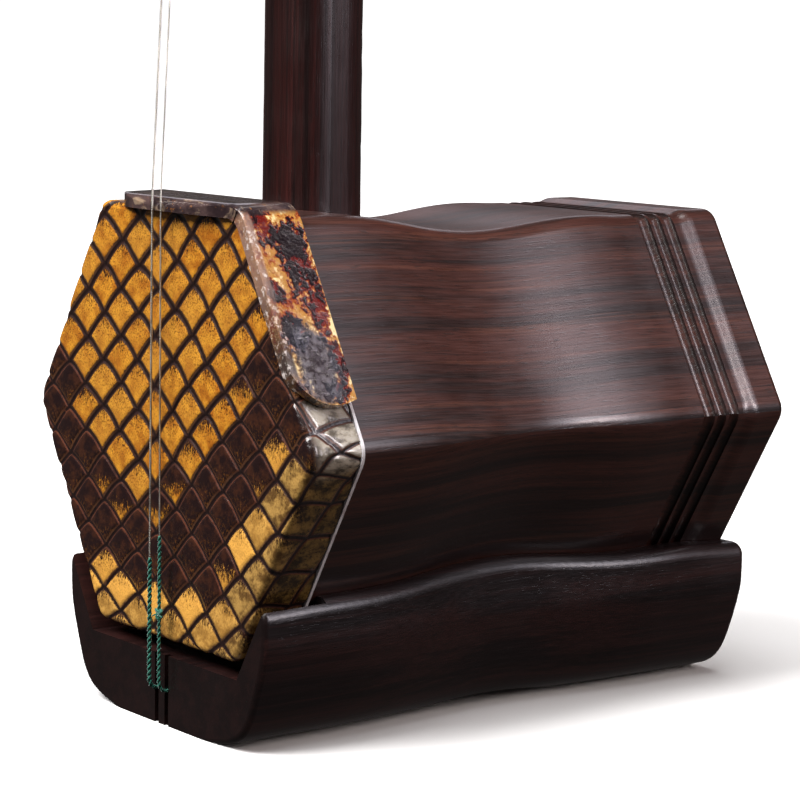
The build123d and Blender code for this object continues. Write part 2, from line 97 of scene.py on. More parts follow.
# ---- node trees -----------------------------------------------------------------------
class Look:
    """A material and short names for the nodes it is built from. Lengths are millimetres."""

    def __init__(self, name, **sockets):
        self.material = bpy.data.materials.new(name)
        self.material.use_nodes = True
        self.tree = self.material.node_tree
        self.shader = self.tree.nodes["Principled BSDF"]
        for key, value in sockets.items():
            self.shader.inputs[key.replace("_", " ")].default_value = value
        self._place = None

    def node(self, kind, values=(), **props):
        made = self.tree.nodes.new("ShaderNode" + kind)
        for key, value in props.items():
            setattr(made, key, value)
        for index, value in dict(values).items():
            self.feed(made.inputs[index], value)
        return made

    def feed(self, socket, value):
        if isinstance(value, bpy.types.NodeSocket):
            self.tree.links.new(value, socket)
        elif value is not None:
            socket.default_value = value

    def place(self):
        """Position on the object."""
        if self._place is None:
            coord = self.node("TexCoord").outputs["Object"]
            self._place = self.node(
                "VectorMath", {0: coord, 3: 1 / MM}, operation="SCALE"
            ).outputs[0]
        return self._place

    def split(self, vector):
        return self.node("SeparateXYZ", {0: vector}).outputs

    def grey(self, value):
        return self.node("CombineXYZ", {0: value, 1: value, 2: value}).outputs[0]

    def math(self, operation, a, b=None):
        values = {0: a} if b is None else {0: a, 1: b}
        return self.node("Math", values, operation=operation).outputs[0]

    def times(self, a, b):
        return self.math("MULTIPLY", a, b)

    def plus(self, a, b):
        return self.math("ADD", a, b)

    def minus(self, a, b):
        return self.math("SUBTRACT", a, b)

    def ease(self, value, low, high, to_low=0.0, to_high=1.0):
        """A soft step: from to_low up to low, to to_high from high."""
        return self.node(
            "MapRange", {0: value, 1: low, 2: high, 3: to_low, 4: to_high},
            interpolation_type="SMOOTHSTEP",
        ).outputs[0]

    def mix(self, factor, a, b, mode="MIX"):
        return self.node(
            "Mix", {0: factor, 6: rgba(a), 7: rgba(b)}, data_type="RGBA", blend_type=mode
        ).outputs[2]

    def sized(self, sizes, shift=(0, 0, 0), vector=None):
        """Position divided by a size along each axis."""
        return self.node(
            "Mapping",
            {0: vector or self.place(), 1: shift, 3: tuple(1 / s for s in sizes)},
        ).outputs[0]

    def noise(self, sizes, shift=(0, 0, 0), detail=3.0, rough=0.5, warp=0.0, vector=None):
        """Noise whose clouds have these sizes along x, y and z."""
        return self.node("TexNoise", {
            "Vector": self.sized(sizes, shift, vector), "Scale": 1.0, "Detail": detail,
            "Roughness": rough, "Distortion": warp,
        }).outputs[0]

    def named(self, name):
        """A value that the mesh keeps at each of its points."""
        return self.node("Attribute", attribute_name=name).outputs["Vector"]

    def colour(self, value):
        self.feed(self.shader.inputs["Base Color"], rgba(value))

    def rough(self, value):
        self.feed(self.shader.inputs["Roughness"], value)

    def bump(self, *heights):
        """Each height is (socket, millimetres); they add up."""
        normal = None
        for height, depth in heights:
            normal = self.node("Bump", {
                "Height": height, "Distance": depth * MM, "Strength": 1.0, "Normal": normal,
            }).outputs[0]
        self.feed(self.shader.inputs["Normal"], normal)


def rgba(value):
    """A colour with its alpha; a socket stays as it is."""
    return (*value, 1.0) if isinstance(value, tuple) and len(value) == 3 else value


def wear(node, look):
    """Gives a CAD node this look."""
    node = nodes[node]
    node.data.materials.clear()
    node.data.materials.append(look.material)


# ---- woods ----------------------------------------------------------------------------
BOARD_DEEP = 7          # the figure of a box's board is this many times longer into the board


def wood(name, grain, dark, middle, light, seed, figure=1.0, board=None, **sockets):
    """Rosewood: broad dark bands, lighter streaks, fibres and open pores along the grain.

    A board of the sound box has its number, from the top one clockwise as seen from the
    front. Its figure runs straight through the waist, as the growth layers of a plank do
    when they stand nearly upright in it.
    """
    look = Look(name, **sockets)
    shift = (seed * 3.7, seed * 5.3, seed * 7.1)
    place = look.place()
    if board is not None:
        place = look.node(
            "VectorRotate",
            {"Vector": place, "Center": (0, 0, AXIS_Z), "Axis": (0, 1, 0),
             "Angle": -math.radians(60 * board)},
            rotation_type="AXIS_ANGLE",
        ).outputs[0]

    def along(across, length):
        sizes = [length if axis == grain else across for axis in "xyz"]
        if board is not None:
            sizes[2] *= BOARD_DEEP
        return tuple(sizes)

    def figured(across, length, detail, rough=0.6, shift=shift):
        return look.noise(along(across, length), shift, detail, rough, vector=place)

    bands = figured(4.6, 300, 3)
    streaks = figured(1.5, 150, 5)
    fibres = figured(0.24, 12, 3)
    pores = figured(0.30, 3.6, 1, 0.5)
    flow = look.noise((60, 60, 60), shift, 1)
    tone = look.ease(look.plus(bands, look.times(flow, 0.25)), 0.50, 0.74)
    colour = look.mix(tone, dark, middle)
    lit = look.ease(streaks, 0.50, 0.72, 0.0, 0.55 * figure)
    colour = look.mix(lit, colour, light)
    black = look.ease(figured(1.1, 170, 4, shift=(seed, seed + 9, seed + 4)), 0.55, 0.68)
    colour = look.mix(look.times(black, 0.9 * figure), colour, dark)
    shade = look.ease(fibres, 0.25, 0.75, 0.72, 1.22)
    colour = look.mix(1.0, colour, look.grey(shade), "MULTIPLY")
    pitted = look.ease(pores, 0.60, 0.70)
    colour = look.mix(look.times(pitted, 0.55), colour, (0.012, 0.007, 0.006))
    # end grain soaks up the lacquer and is darker; this strong darkening also paints the shade
    # on the base's downward-facing front
    facing = look.split(look.node("NewGeometry").outputs["Normal"])["xyz".index(grain)]
    end_grain_and_shade = look.ease(look.math("ABSOLUTE", facing), 0.55, 0.9, 0.0, 0.78)
    look.colour(look.mix(end_grain_and_shade, colour, (0.006, 0.003, 0.003)))
    smears = look.noise((22, 22, 22), shift, 4, 0.6)
    matt = look.ease(smears, 0.4, 0.7, 0, 0.07)
    look.rough(look.plus(look.ease(fibres, 0.3, 0.7, 0.27, 0.36), matt))
    look.bump((fibres, 0.012), (look.times(pitted, -1.0), 0.010), (streaks, 0.03))
    return look


LACQUER = dict(Coat_Weight=0.5, Coat_Roughness=0.19, Specular_IOR_Level=0.40)
# the three lower boards get a fainter figure, with fewer light streaks: painted shade for the
# shadow they lie in
for k, stave in enumerate((
    "stave_top", "stave_upper_right", "stave_lower_right",
    "stave_bottom", "stave_lower_left", "stave_upper_left",
)):
    wear(stave, wood(
        f"rosewood_board_{k}", "y", (0.015, 0.006, 0.005), (0.056, 0.017, 0.012),
        (0.125, 0.041, 0.023), k + 1.3, 0.65 if 2 <= k <= 4 else 1.0, k, **LACQUER,
    ))
neck_wood = wood(
    "rosewood_neck", "z", (0.008, 0.002, 0.002), (0.031, 0.006, 0.005),
    (0.072, 0.013, 0.011), 11.0, 0.8, **LACQUER,
)
wear("neck", neck_wood)
wear("headpiece", neck_wood)
wear("base", wood(
    "base_wood", "y", (0.008, 0.003, 0.003), (0.028, 0.009, 0.008),
    (0.058, 0.018, 0.015), 23.0, 0.7, **LACQUER,
))
peg_wood = wood(
    "peg_wood", "y", (0.008, 0.005, 0.005), (0.026, 0.012, 0.010),
    (0.060, 0.026, 0.020), 31.0, 0.7, **LACQUER,
)
wear("upper_peg", peg_wood)
wear("lower_peg", peg_wood)
wear("rear_window", wood(
    "window_wood", "z", (0.012, 0.006, 0.005), (0.045, 0.018, 0.014),
    (0.090, 0.038, 0.026), 41.0, 0.8, **LACQUER,
))

# ---- bone, steel, white line ----------------------------------------------------------
bone = Look("bone", Subsurface_Weight=0.15, Coat_Weight=0.3, Coat_Roughness=0.1)
clouds = bone.noise((3, 3, 3), detail=4)
pits = bone.noise((0.25, 0.25, 1.2), detail=2)
bone.colour(bone.mix(
    bone.ease(pits, 0.62, 0.72, 0, 0.5),
    bone.mix(bone.ease(clouds, 0.3, 0.7), (0.62, 0.52, 0.36), (0.80, 0.73, 0.58)),
    (0.35, 0.26, 0.15),
))
bone.rough(bone.ease(clouds, 0.3, 0.7, 0.22, 0.38))
bone.bump((pits, -0.02))
for name in ("upper_peg_cap", "lower_peg_cap", "head_inlay"):
    wear(name, bone)

steel = Look("steel", Metallic=1.0)
scratches = steel.noise((0.1, 2, 2), detail=3)
steel.colour(steel.mix(scratches, (0.30, 0.30, 0.31), (0.55, 0.55, 0.56)))
steel.rough(steel.ease(scratches, 0.3, 0.7, 0.28, 0.5))
steel.bump((scratches, 0.005))
wear("anchor_pin", steel)
wear("base_screws", steel)

white = Look("white_line", Coat_Weight=0.4)
dirt = white.noise((2.5, 2.5, 2.5), detail=4)
white.colour(white.mix(white.ease(dirt, 0.45, 0.75), (0.86, 0.84, 0.88), (0.55, 0.48, 0.50)))
white.rough(white.ease(dirt, 0.3, 0.7, 0.18, 0.35))
white.bump((dirt, 0.02))
wear("skin_edge_binding", white)

# ---- snakeskin ------------------------------------------------------------------------
RIDGE_R, FOLD_R = 5.2, 1.8      # outer radii of its corners and of its fold
SKIN_T = 0.8                    # thickness
GRID = 0.27                     # spacing of the mesh
FOLD_RINGS = 22                 # rings of points round the fold
FAN = 13                        # how far from a corner the folded scales fan out
BELLY_AT = 6                    # how far behind the front edge they are wholly olive
STRETCH = 0.85                  # they are longer than the front's by one over this

# the lattice of the scales: neighbouring columns are offset by half a row
COLUMN, ROW = 6.6, 10.25        # mean spacing across, spacing up
LEFT_STEP, RIGHT_STEP = 6.9, 6.15           # spacing of the columns left and right of BEND_X
BEND_X, BEND_COLUMN, FIRST_X = 2.9, 5, -31.7
ROW_AT, ROW_LEAN, LEAN_X = 5.8, 0.065, -24.8        # rows climb to the right
ARCH = 1.35                     # how round the scales' upper edges are
GROOVE_WIDE, GROOVE_DEEP = 1.25, 0.32
OVERLAP, CROWN = 0.18, 0.14     # how much a scale's upper end and its edges lie lower


def outline(around, inset):
    """Points of the rounded hexagon, inset from the outside, and the way each one faces.

    around is (side, place, end): the hexagon's side from the top one clockwise, the place
    along it, and how far the place is into the rounding of its left (-) or right (+) end.
    """
    side, place, end = around
    a = SKIN_A - inset
    r = max(RIDGE_R - inset, 0.0)
    facing = np.radians(90 - 60 * side)
    sharp = a * np.stack([np.cos(facing), np.sin(facing)]) + place * a / SKIN_A * np.stack(
        [np.sin(facing), -np.cos(facing)]
    )
    turn = facing - np.radians(30) * end
    corner = facing - np.radians(30) * np.sign(end)
    arc = (a - r) / COS30 * np.stack([np.cos(corner), np.sin(corner)]) + r * np.stack(
        [np.cos(turn), np.sin(turn)]
    )
    w = np.where(end != 0, r / RIDGE_R, 0.0)
    return (w * arc + (1 - w) * sharp).T, turn


def share(value, start, length):
    """0 up to start, 1 from start + length, straight between."""
    return np.clip((value - start) / length, 0, 1)


def scales(x, z, belly):
    """What the scales are like at points of the unrolled skin; belly is 1 on the folded band,
    whose olive and dimmer scales are painted shade.

    Returns the place in the scale (across, up), the distance to its edge, its tone (0 dark to
    1 yellow), its own chance number, the distance from its middle (1 is about its edge), and
    how much it is one of the bright scales near the lower edge, or a tan one beyond those.
    """
    # the lattice wavers a little, and its lower left part is drawn down
    x = x + 0.5 * np.sin(z / 9 + 1) + 0.35 * np.sin((x + z) / 7.3) + 0.25 * np.sin(
        x / 3.1 - z / 4.7)
    z = z + 0.4 * np.sin(x / 6.1 + 2) + 0.3 * np.sin((x - z) / 8.2 + 1)
    z = z - 0.07 * np.clip(-z - 12, 0, 40) * share(-x, 2, 10)
    column = np.where(
        x < BEND_X, (x - FIRST_X) / LEFT_STEP, BEND_COLUMN + 0.01 + (x - BEND_X) / RIGHT_STEP)
    lifted = 1.3 * np.exp(-((x - 5) / 14) ** 2)
    row = (z - ROW_AT - ROW_LEAN * (x - LEAN_X) - lifted) / ROW
    edge = np.full(x.shape, -np.inf)
    dc, dr, cc, rr = (np.zeros(x.shape) for _ in range(4))
    for c in (np.floor(column), np.floor(column) + 1):
        half = 0.5 * np.mod(c + 1, 2)
        u = np.clip(np.abs(column - c), 0, 1)
        for step in (-1, 0, 1):
            j = np.round(row - half) + half + step
            q = (row - j) * ROW
            # each scale has an arched top, and a pointed lower tip between its neighbours
            above = (0.5 * ROW * (1 - u ** ARCH) - q) / np.sqrt(1 + 1.3 * u)
            below = (q + 0.5 * ROW * (1 - u) ** ARCH) / np.sqrt(2.3 - 1.3 * u)
            inner = np.minimum(above, below)
            nearer = inner > edge
            edge = np.where(nearer, inner, edge)
            dc, dr = np.where(nearer, column - c, dc), np.where(nearer, row - j, dr)
            cc, rr = np.where(nearer, c, cc), np.where(nearer, j, rr)
    edge = np.maximum(edge, 0.0)
    body = (np.abs(dc * COLUMN / 4.6) ** ARCH + np.abs(dr * ROW / 4.7) ** ARCH) ** (1 / ARCH)
    chance = np.mod(np.sin(cc * 12.9898 + rr * 78.233) * 43758.5453, 1.0)
    # the scale's own middle decides its colour: yellow above a line like a wide V
    sx = np.where(
        cc < BEND_COLUMN, cc * LEFT_STEP + FIRST_X, (cc - BEND_COLUMN) * RIGHT_STEP + BEND_X)
    sz = rr * ROW + ROW_AT + ROW_LEAN * (sx - LEAN_X)
    border = -20 + 1.5 * np.maximum(-22 - sx, 0) + 0.55 * np.maximum(sx + 5, 0)
    border = border + 1.5 * np.maximum(sx - 22, 0)
    tone = np.clip((sz - border) / 15 + 0.42, 0, 1)
    slant = 0.866 * sx - 0.5 * sz                   # distance out towards the lower right side
    low = share(-sz, -4, 8)
    bright = np.maximum(share(-sz, 34.0, 2), share(slant, 31.0, 2)) * low
    tan = np.maximum(0.6 * share(-sz, 40.5, 2), share(slant, 36.0, 2)) * low
    # the folded band's scales are dimmed: painted shade
    tone = np.maximum(tone, bright) * (1 - 0.5 * belly)
    return dc * COLUMN, dr * ROW, edge, tone, chance, body, bright, tan


def build_skin():
    """The skin as rings of points: its front, its fold, its band, and back along the inside."""
    half = SKIN_A * TAN30
    per_side = int(2 * half / GRID)
    zone = RIDGE_R * TAN30
    side = np.repeat(np.arange(6), per_side)
    place = np.tile((np.arange(per_side) + 0.5) / per_side * 2 * half - half, 6)
    end = np.sign(place) * share(np.abs(place), half - zone, zone)
    around = (side, place, end)
    n = len(side)
    # the way in which the folded skin is unrolled
    fanned = np.radians(
        90 - 60 * side - 30 * np.sign(place) * share(np.abs(place), half - FAN, FAN) ** 2)
    reach = np.column_stack([np.cos(fanned), np.sin(fanned)])
    rim, _ = outline(around, FOLD_R)
    points, normals, flat, belly, outside = [], [], [], [], []

    def ring(xz, y, turn, tilt, unrolled, along, outer=True):
        """Adds a ring; along is how far behind the front edge it is, on the skin."""
        points.append(np.column_stack([xz[:, 0], np.full(n, y), xz[:, 1]]))
        normals.append(np.column_stack([
            np.sin(tilt) * np.cos(turn), np.full(n, -np.cos(tilt)), np.sin(tilt) * np.sin(turn)
        ]))
        flat.append(unrolled)
        belly.append(np.full(n, np.clip(along / BELLY_AT, 0, 1)))
        outside.append(outer)

    straight = np.zeros(n)
    steps = int((SKIN_A - FOLD_R) / GRID)
    for i in range(1, steps):
        xz = rim * i / steps
        ring(xz, 0.0, straight, 0.0, xz, 0.0)
    quarter = math.pi / 2
    for tilt in np.arange(FOLD_RINGS + 1) * quarter / FOLD_RINGS:
        xz, turn = outline(around, FOLD_R * (1 - math.sin(tilt)))
        along = FOLD_R * tilt
        ring(xz, FOLD_R * (1 - math.cos(tilt)), turn, tilt, rim + reach * along, along)
    folded = FOLD_R * quarter
    xz, turn = outline(around, 0.0)
    for y in np.linspace(FOLD_R, SKIN_DEEP, int((SKIN_DEEP - FOLD_R) / GRID))[1:]:
        unrolled = rim + reach * (folded + (y - FOLD_R) * STRETCH)
        ring(xz, y, turn, quarter, unrolled, folded + y - FOLD_R)
    for inset, y in ((SKIN_T, SKIN_DEEP), (SKIN_T, 8.0), (SKIN_T, FOLD_R), (FOLD_R, SKIN_T)):
        xz, turn = outline(around, inset)
        ring(xz, y, turn, 0.0, xz, 0.0, False)
    for inner in (0.66, 0.33, 0.02):
        ring(rim * inner, SKIN_T, straight, 0.0, rim, 0.0, False)

    points, normals = np.concatenate(points), np.concatenate(normals)
    flat, belly = np.concatenate(flat), np.concatenate(belly)
    outside = np.repeat(outside, n).astype(float)
    p, q, edge, tone, chance, body, bright, tan = scales(flat[:, 0], flat[:, 1], belly)
    rise = np.clip(edge / GROOVE_WIDE, 0, 1)
    shallow = 0.10 * np.clip(4 * belly, 0, 1)
    groove = (1 - rise * rise * (3 - 2 * rise)) * (GROOVE_DEEP - shallow)
    overlap = np.clip(0.5 + q / ROW, 0, 1) * (OVERLAP + 0.06 * belly)
    crown = CROWN * np.clip(body, 0, 1) ** 2
    points -= normals * ((groove + overlap + crown) * outside)[:, None]

    rows = len(points) // n
    index = np.arange(rows * n).reshape(rows, n)
    following = np.roll(index, -1, axis=1)
    quads = np.stack([index[:-1], following[:-1], following[1:], index[1:]], axis=-1)
    mesh = bpy.data.meshes.new("snakeskin_scales")
    points[:, 1] += SKIN_Y
    points[:, 2] += AXIS_Z
    centre = len(points)
    points = np.vstack([points, [[0, SKIN_Y, AXIS_Z]], [[0, SKIN_Y + SKIN_T, AXIS_Z]]])
    fans = [(centre, int(b), int(a)) for a, b in zip(index[0], following[0])]
    fans += [(centre + 1, int(a), int(b)) for a, b in zip(index[-1], following[-1])]
    quads = [tuple(f) for f in quads.reshape(-1, 4).tolist()]
    mesh.from_pydata((points * MM).tolist(), [], quads + fans)
    mesh.shade_smooth()

    def keep(name, x, y, z):
        """Keeps three values for each point, for snake_look."""
        held = mesh.attributes.new(name, "FLOAT_VECTOR", "POINT")
        data = np.vstack([np.column_stack([x, y, z]), np.zeros((2, 3))])
        data[-2] = data[0]              # the front's centre is like the ring next to it
        held.data.foreach_set("vector", data.astype(np.float32).ravel())

    keep("scale_place", p, q, edge)
    keep("scale_kind", tone, chance, body)
    keep("scale_flat", flat[:, 0], flat[:, 1], tan)
    keep("scale_rim", bright, belly, outside)
    piece = bpy.data.objects.new("snakeskin_scales", mesh)
    bpy.context.scene.collection.objects.link(piece)
    return piece


def snake_look():
    """Yellow, umber, tan and olive scales in a dark net, by what the mesh keeps of them; the
    olive of the folded band is painted shade.
    """
    look = Look("snakeskin", Coat_Weight=0.6, Coat_Roughness=0.10, Specular_IOR_Level=0.35)
    ease, mix, times, plus, minus = look.ease, look.mix, look.times, look.plus, look.minus
    p, q, edge = look.split(look.named("scale_place"))
    tone, chance, body = look.split(look.named("scale_kind"))
    flat = look.named("scale_flat")
    bright, belly, outside = look.split(look.named("scale_rim"))
    tan = look.split(flat)[2]
    specks = look.noise((0.55, 0.85, 1), detail=4, rough=0.7, vector=flat)
    dots = look.noise((0.34, 0.46, 1), detail=3, rough=0.65, vector=flat)
    clouds = look.noise((3.5, 3.5, 1), detail=4, rough=0.6, vector=flat)
    streaks = look.noise((0.35, 2.2, 1), detail=3, rough=0.6, vector=flat)
    yellow = mix(ease(clouds, 0.35, 0.66), (0.40, 0.125, 0.010), (0.70, 0.300, 0.026))
    yellow = mix(ease(chance, 0.0, 1.0, 0.0, 0.4), yellow, (0.62, 0.31, 0.045))
    yellow = mix(times(bright, 0.75), yellow, (0.90, 0.47, 0.095))
    mottled = mix(ease(clouds, 0.40, 0.60), (0.10, 0.052, 0.016), (0.46, 0.27, 0.075))
    yellow = mix(times(tan, 0.95), yellow, mottled)
    speckled = times(ease(dots, 0.50, 0.62), ease(q, -4.0, 2.5, 0.12, 0.9))
    speckled = times(speckled, ease(bright, 0.3, 1.0, 1.0, 0.45))
    yellow = mix(speckled, yellow, (0.085, 0.026, 0.006))
    # the dark upper tip grows downwards on darker scales
    ragged = minus(plus(specks, times(streaks, 0.8)), 0.9)
    tip = plus(look.math("DIVIDE", q, 5.1), times(ragged, 2.4))
    limit = ease(plus(tone, times(minus(chance, 0.5), 0.35)), 0.0, 1.0, -1.35, 0.68)
    darkened = ease(minus(tip, limit), -0.25, 0.40)
    umber = mix(ease(clouds, 0.45, 0.65), (0.013, 0.005, 0.005), (0.040, 0.013, 0.007))
    flecks = times(ease(specks, 0.50, 0.64), ease(q, -4.5, 2.0, 0.65, 0.0))
    umber = mix(flecks, umber, (0.25, 0.090, 0.014))
    skin = mix(darkened, yellow, umber)
    # olive scales on the folded band, painted darker than the front's yellow as the band's
    # shade; silvery near the right-hand corner
    olive = mix(ease(clouds, 0.40, 0.60), (0.040, 0.024, 0.010), (0.21, 0.125, 0.036))
    olive = mix(ease(specks, 0.5, 0.66, 0, 0.85), olive, (0.020, 0.012, 0.007))
    silvery = times(
        ease(plus(look.split(flat)[0], times(streaks, 12)), 48, 56),
        ease(look.split(flat)[1], -9, 0),
    )
    silvery = times(silvery, ease(clouds, 0.36, 0.60, 0.12, 0.8))
    olive = mix(silvery, olive, (0.58, 0.54, 0.47))
    skin = mix(times(ease(belly, 0.25, 0.9), 0.92), skin, olive)
    # the colour stops short of the dark net between the scales, least so on dark scales
    wander = times(minus(specks, 0.5), 0.9)
    border = plus(edge, wander)
    wide = ease(look.math("MAXIMUM", tone, belly), 0.0, 0.6, 0.45, 0.80)
    wide = minus(wide, times(bright, 0.25))
    inside = ease(minus(border, wide), -0.15, 0.20)
    round_body = ease(plus(body, wander), 1.22, 1.02)
    unrounded = look.math("MAXIMUM", belly, bright)
    inside = times(inside, look.math("MAXIMUM", round_body, unrounded))
    gap = mix(ease(streaks, 0.35, 0.65), (0.009, 0.004, 0.004), (0.020, 0.007, 0.006))
    skin = mix(inside, gap, skin)
    # thin horny outline: pale below each scale, reddish round its arched top
    line = times(ease(edge, 0.30, 0.48), ease(edge, 0.86, 0.62))
    patchy = ease(clouds, 0.30, 0.60, 0.35, 1.0)
    below = times(line, ease(q, 0.8, -1.8, 0.0, 0.55))
    above = times(
        times(line, patchy),
        times(ease(q, -1.5, 1.0, 0.25, 1.0), ease(tone, 0.9, 0.3, 0.12, 0.85)),
    )
    skin = mix(below, skin, (0.19, 0.085, 0.040))
    skin = mix(above, skin, (0.120, 0.036, 0.018))
    look.colour(mix(outside, (0.20, 0.14, 0.08), skin))
    look.rough(ease(inside, 0.0, 1.0, 0.42, 0.26))
    look.bump(
        (look.noise((0.25, 0.25, 1), detail=3, rough=0.6, vector=flat), 0.035),
        (look.noise((2.2, 2.2, 1), detail=4, rough=0.55, vector=flat), 0.22),
    )
    return look


skin_piece = build_skin()
skin_piece.data.materials.append(snake_look().material)
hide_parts("snakeskin")
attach(skin_piece, "instrument")

# ---- tortoiseshell guard --------------------------------------------------------------
shell = Look(
    "tortoiseshell", Coat_Weight=1.0, Coat_Roughness=0.07, Specular_IOR_Level=0.5,
    Roughness=0.3,
)
ease, mix, times, plus, minus = shell.ease, shell.mix, shell.times, shell.plus, shell.minus
at_x, at_y, at_z = shell.split(shell.place())
# down is measured along the upper right side, behind is how far back from the front it is
down = minus(times(at_x, 0.5), times(minus(at_z, AXIS_Z), COS30))
behind = minus(at_y, SKIN_Y)
swirl = shell.noise((7, 7, 7), (3, 1, 4), 4, 0.6)
fine = shell.noise((1.4, 1.4, 1.4), (5, 2, 1), 5, 0.65)
grit = shell.noise((0.35, 0.35, 0.35), (1, 8, 3), 3, 0.7)


def blotch(at_down, at_behind, long, wide, ragged=0.9):
    """Soft-edged patch on the upper right side, ragged by noise."""
    a = shell.math("DIVIDE", minus(down, at_down), long)
    b = shell.math("DIVIDE", minus(behind, at_behind), wide)
    away = shell.math("SQRT", plus(times(a, a), times(b, b)))
    away = plus(away, times(minus(plus(swirl, fine), 1.0), ragged * 2))
    return ease(away, 1.15, 0.75)


patches = blotch(-22.5, 3.6, 4.6, 3.4)
for where in (
    (-15, 9.3, 9, 3.8), (-3.5, 10.6, 7.5, 3.0), (1.0, 3.2, 3.6, 2.8), (7, 11.5, 5.5, 2.2),
    (-9, 1.8, 2.4, 2.0), (13, 9.5, 3.0, 2.4),
):
    patches = shell.math("MAXIMUM", patches, blotch(*where))
# black, dark red, amber and gold follow one another as the shell grows more transparent
clear = plus(times(swirl, 0.55), times(fine, 0.45))
clear = minus(clear, times(patches, 0.22))
field = mix(ease(clear, 0.29, 0.33), (0.006, 0.002, 0.004), (0.12, 0.006, 0.004))
for low, high, colour in (
    (0.38, 0.42, (0.28, 0.050, 0.008)),
    (0.42, 0.49, (0.46, 0.22, 0.050)),
    (0.53, 0.60, (0.86, 0.66, 0.34)),
):
    field = mix(ease(clear, low, high), field, colour)
field = mix(ease(grit, 0.57, 0.66, 0, 0.7), field, (0.040, 0.018, 0.010))
# pale glints in the silver patch: painted highlights
glint = shell.noise((0.7, 2.6, 2.6), (4, 4, 1), 4, 0.65, 0.6)
silver = mix(ease(fine, 0.42, 0.64), (0.014, 0.014, 0.022), (0.095, 0.090, 0.115))
silver = mix(ease(glint, 0.60, 0.72), silver, (0.36, 0.34, 0.37))
field = mix(times(blotch(7.5, 6.2, 9.5, 5.4, 0.6), 0.96), field, silver)
# the top side is dark with pale streaks and amber flecks
cover = mix(
    ease(shell.noise((5, 0.9, 3), (2, 2, 2), 4, 0.6, 0.5), 0.54, 0.70),
    mix(ease(swirl, 0.4, 0.6), (0.022, 0.012, 0.014), (0.070, 0.042, 0.040)),
    (0.27, 0.19, 0.13),
)
cover = mix(ease(fine, 0.60, 0.70, 0, 0.8), cover, (0.34, 0.13, 0.025))
on_side = ease(minus(down, times(fine, 1.6)), -27.4, -25.4)
# the strip folded over the front edge is duller, greyish pink above and dark below; its pale
# spots are painted glints and its paler upper part is a painted reflection on the rounded edge
lip = times(ease(behind, 1.5, 0.7), ease(swirl, 0.35, 0.60, 0.55, 0.95))
folded = mix(ease(down, -14, 2), (0.25, 0.15, 0.12), (0.035, 0.026, 0.030))
# pale spots on the folded strip: painted glints
folded = mix(ease(fine, 0.52, 0.64), folded, (0.62, 0.55, 0.54))
field = mix(lip, field, folded)
shell.colour(mix(on_side, cover, field))
shell.rough(ease(grit, 0.4, 0.7, 0.12, 0.26))
shell.bump((fine, 0.16), (grit, 0.03), (swirl, 0.45))
wear("skin_rim_guard", shell)


# ---- thread and wire ------------------------------------------------------------------
LINE_STEP = 0.2                 # spacing of the points along a drawn line


def unit(vectors):
    return vectors / np.linalg.norm(vectors, axis=-1, keepdims=True)


def travelled(line):
    """Length of a line up to each of its points."""
    return np.concatenate([[0], np.cumsum(np.linalg.norm(np.diff(line, axis=0), axis=1))])


def frames_along(line, across):
    """Two directions square to a line at each of its points, without a twist."""
    first, second = [], []
    for ahead in unit(np.gradient(line, axis=0)):
        across = unit(across - ahead * across.dot(ahead))
        first.append(across)
        second.append(np.cross(ahead, across))
    return np.array(first), np.array(second)


def tube(points, radius, sides=8):
    """Vertices and faces of a closed-ended tube along points."""
    start = unit(np.gradient(points, axis=0)[0])
    first, second = frames_along(points, np.cross(start, (0.3, 0.2, 0.93)))
    angles = (np.arange(sides) * TURN / sides)[:, None]
    verts = np.concatenate([
        point + radius * (np.cos(angles) * u + np.sin(angles) * v)
        for point, u, v in zip(points, first, second)
    ])
    faces = []
    for i in range(len(points) - 1):
        for j in range(sides):
            a, b = i * sides + j, i * sides + (j + 1) % sides
            faces.append((a, b, b + sides, a + sides))
    faces.append(tuple(reversed(range(sides))))
    faces.append(tuple(range(len(verts) - sides, len(verts))))
    return verts, faces


def piece_of(name, tubes, look, body, stands_for):
    """One object from several tubes, in millimetres."""
    verts, faces, start = [], [], 0
    for tube_verts, tube_faces in tubes:
        verts.append(tube_verts)
        faces += [tuple(i + start for i in face) for face in tube_faces]
        start += len(tube_verts)
    mesh = bpy.data.meshes.new(name)
    mesh.from_pydata((np.concatenate(verts) * MM).tolist(), [], faces)
    mesh.shade_smooth()
    mesh.materials.append(look.material)
    made = bpy.data.objects.new(name, mesh)
    bpy.context.scene.collection.objects.link(made)
    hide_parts(stands_for)
    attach(made, body)


def smooth_line(points):
    """Points along a smooth spline with these control points."""
    curve = bpy.data.curves.new("route", "CURVE")
    curve.dimensions = "3D"
    curve.resolution_u = 24
    spline = curve.splines.new("NURBS")
    spline.points.add(len(points) - 1)
    for held, point in zip(spline.points, points):
        held.co = (*point, 1)
    spline.order_u = 3
    spline.use_endpoint_u = True
    route = bpy.data.objects.new("route", curve)
    drawn = bpy.data.meshes.new_from_object(route)
    line = np.array([v.co for v in drawn.vertices])
    bpy.data.objects.remove(route)
    bpy.data.curves.remove(curve)
    bpy.data.meshes.remove(drawn)
    gone = travelled(line)
    at = np.linspace(0, gone[-1], int(gone[-1] / LINE_STEP) + 2)
    return np.column_stack([np.interp(at, gone, line[:, i]) for i in range(3)])


def twisted(line, apart, pitch, strand):
    """Two strands twisted round a line."""
    u, v = frames_along(line, np.array([1.0, 0.0, 0.0]))
    made = []
    for phase in (0.0, math.pi):
        angle = (travelled(line) / pitch * TURN + phase)[:, None]
        made.append(tube(line + apart * (np.cos(angle) * u + np.sin(angle) * v), strand))
    return made


